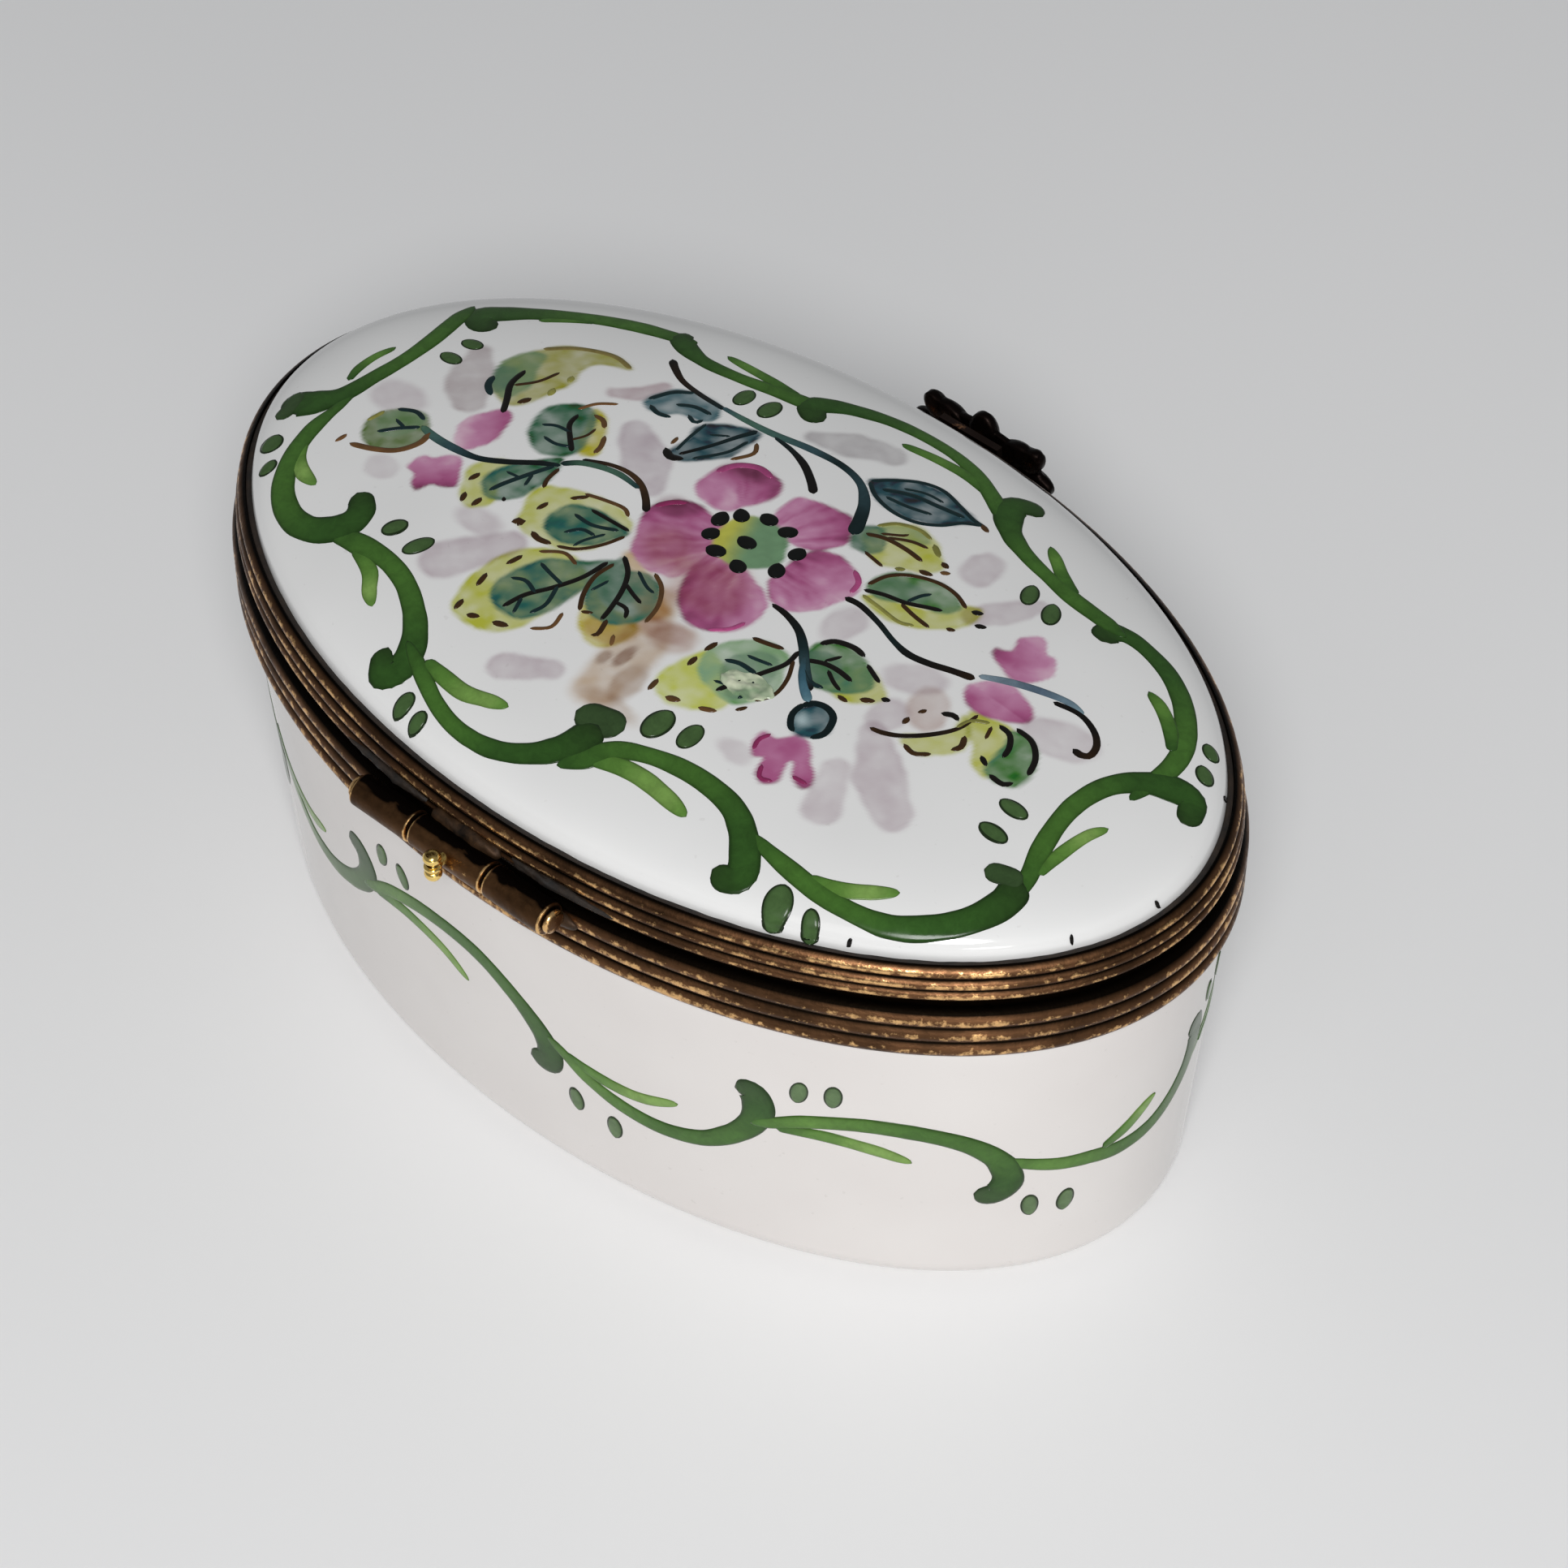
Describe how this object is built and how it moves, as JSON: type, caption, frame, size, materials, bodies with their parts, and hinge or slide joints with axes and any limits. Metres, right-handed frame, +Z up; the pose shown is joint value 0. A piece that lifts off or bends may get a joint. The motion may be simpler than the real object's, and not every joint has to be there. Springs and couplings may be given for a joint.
{
  "type": "pill box",
  "caption": "Oval porcelain pill box with a painted domed lid, reeded brass collars, a barrel hinge at the back and an ornamental snap clasp at the front.",
  "frame": {"origin": "centre of the foot, on the surface the box stands on", "axes": "+X along the long axis of the oval, -Y towards the clasp at the front, +Y towards the hinge at the back, +Z up"},
  "size_m": [0.0576, 0.0405, 0.027],
  "materials": {
    "porcelain": "gloss white glaze with hand-painted flowers and green scrolls",
    "antique_brass": "dark bronze-brown patina, worn golden on the ridges",
    "polished_brass": "bright polished",
    "blackened_brass": "near-black patina",
    "plaster": "matt off-white bedding plaster"
  },
  "bodies": {
    "base": {"base_cup": "porcelain", "base_collar": "antique_brass", "base_bezel": "antique_brass", "base_cement": "plaster", "hinge_knuckle_left": "antique_brass", "hinge_knuckle_right": "antique_brass", "hinge_pin": "antique_brass", "catch_stud": "antique_brass"},
    "lid": {"lid_plate": "porcelain", "lid_collar": "antique_brass", "lid_cement": "plaster", "hinge_knuckle_middle": "antique_brass", "hinge_stop_finial": "polished_brass", "clasp_ornament": "blackened_brass", "clasp_tongue": "antique_brass"}
  },
  "joints": [
    {"name": "lid_hinge", "type": "hinge", "parent": "base", "child": "lid", "pos_m": [0, 0.01835, 0.02165], "axis": [-1, 0, 0], "range_deg": [0, 85]}
  ]
}
